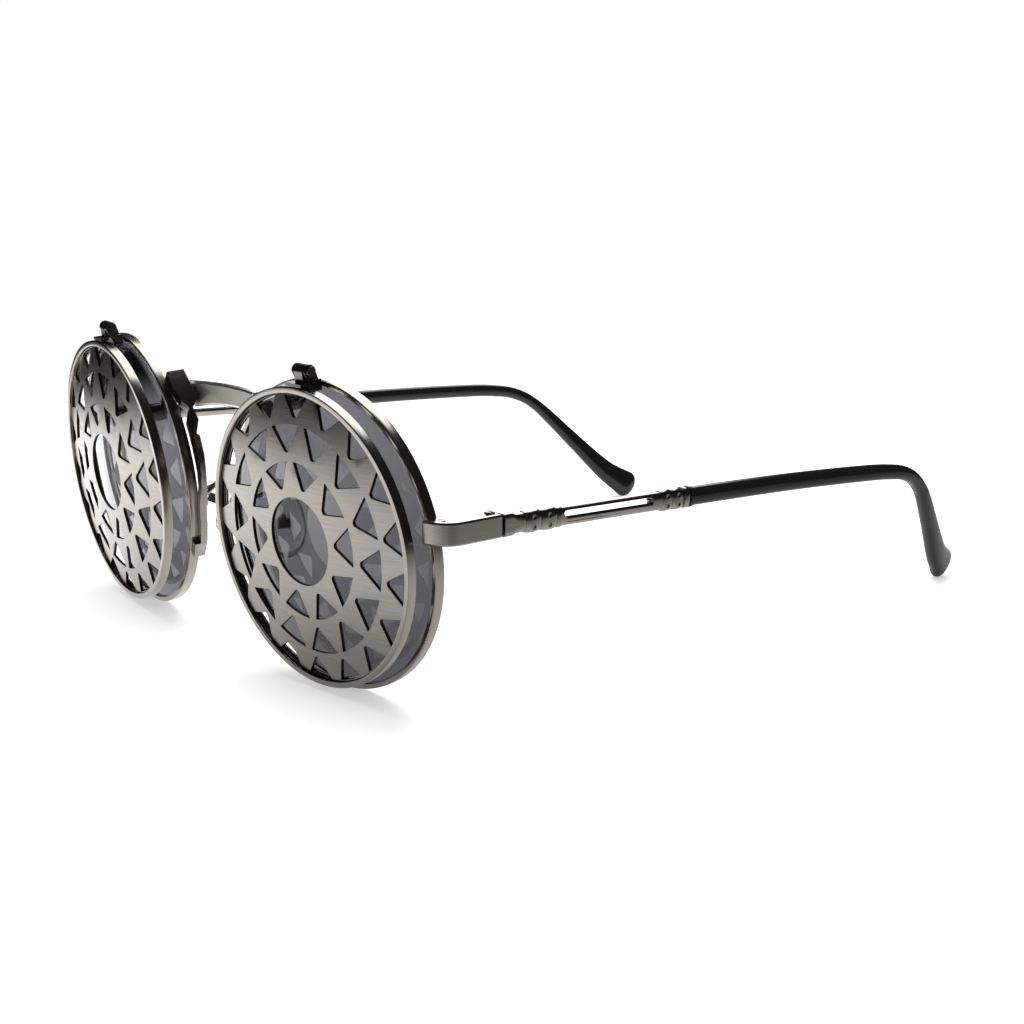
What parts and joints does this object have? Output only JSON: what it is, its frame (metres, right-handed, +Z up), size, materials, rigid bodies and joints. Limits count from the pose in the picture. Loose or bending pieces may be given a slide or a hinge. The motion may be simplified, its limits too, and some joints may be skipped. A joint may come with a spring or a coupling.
{
  "type": "round sunglasses",
  "caption": "Round metal sunglasses with smoke lenses, domed flip-up covers pierced with a sunburst of triangles, beaded slotted folding temples and black tips.",
  "frame": {"origin": "middle of the bounding box seen from above, on the surface under the rims and the tips", "axes": "+X to the wearer's left, +Y from the lenses back to the temple tips, +Z up"},
  "size_m": [0.1288, 0.149, 0.0547],
  "materials": {
    "frame_metal": "dark nickel, finely brushed",
    "plate_metal": "dark nickel sheet, brushed across",
    "screw_metal": "dark polished screws",
    "smoke_lens": "smoke grey, glossy",
    "black_tip": "glossy black",
    "clear_pad": "clear, soft gloss"
  },
  "bodies": {
    "frame": {"bridge": "frame_metal", "rim_left": "frame_metal", "rim_right": "frame_metal", "lens_left": "smoke_lens", "lens_right": "smoke_lens", "end_piece_left": "frame_metal", "end_piece_right": "frame_metal", "flip_base_left": "frame_metal", "flip_base_right": "frame_metal", "flip_screw_left": "screw_metal", "flip_screw_right": "screw_metal", "rim_screw_left": "screw_metal", "rim_screw_right": "screw_metal", "temple_screw_left": "screw_metal", "temple_screw_right": "screw_metal", "pad_arm_left": "frame_metal", "pad_arm_right": "frame_metal", "pad_screw_left": "screw_metal", "pad_screw_right": "screw_metal"},
    "temple_left_body": {"temple_left": "frame_metal", "temple_tip_left": "black_tip"},
    "cover_left_body": {"cover_ring_left": "frame_metal", "cover_plate_left": "plate_metal", "flip_leaf_left": "frame_metal"},
    "pad_left_body": {"nose_pad_left": "clear_pad"},
    "temple_right_body": {"temple_right": "frame_metal", "temple_tip_right": "black_tip"},
    "cover_right_body": {"cover_ring_right": "frame_metal", "cover_plate_right": "plate_metal", "flip_leaf_right": "frame_metal"},
    "pad_right_body": {"nose_pad_right": "clear_pad"}
  },
  "joints": [
    {"name": "temple_left_fold", "type": "hinge", "parent": "frame", "child": "temple_left_body", "pos_m": [0.0616, -0.05449, 0.0313], "axis": [0, 0, 1], "range_deg": [0, 88]},
    {"name": "cover_left_flip", "type": "hinge", "parent": "frame", "child": "cover_left_body", "pos_m": [0.03476, -0.07097, 0.05353], "axis": [-0.9945, -0.1045, 0], "range_deg": [0, 95]},
    {"name": "nose_pad_left_rock", "type": "hinge", "parent": "frame", "child": "pad_left_body", "pos_m": [0.01223, -0.06093, 0.02331], "axis": [0.5299, 0.848, 0], "range_deg": [-8, 8]},
    {"name": "temple_right_fold", "type": "hinge", "parent": "frame", "child": "temple_right_body", "pos_m": [-0.0616, -0.05449, 0.0313], "axis": [0, 0, -1], "range_deg": [0, 78]},
    {"name": "cover_right_flip", "type": "hinge", "parent": "frame", "child": "cover_right_body", "pos_m": [-0.03476, -0.07097, 0.05353], "axis": [-0.9945, 0.1045, 0], "range_deg": [0, 95]},
    {"name": "nose_pad_right_rock", "type": "hinge", "parent": "frame", "child": "pad_right_body", "pos_m": [-0.01223, -0.06093, 0.02331], "axis": [-0.5299, 0.848, 0], "range_deg": [-8, 8]}
  ]
}
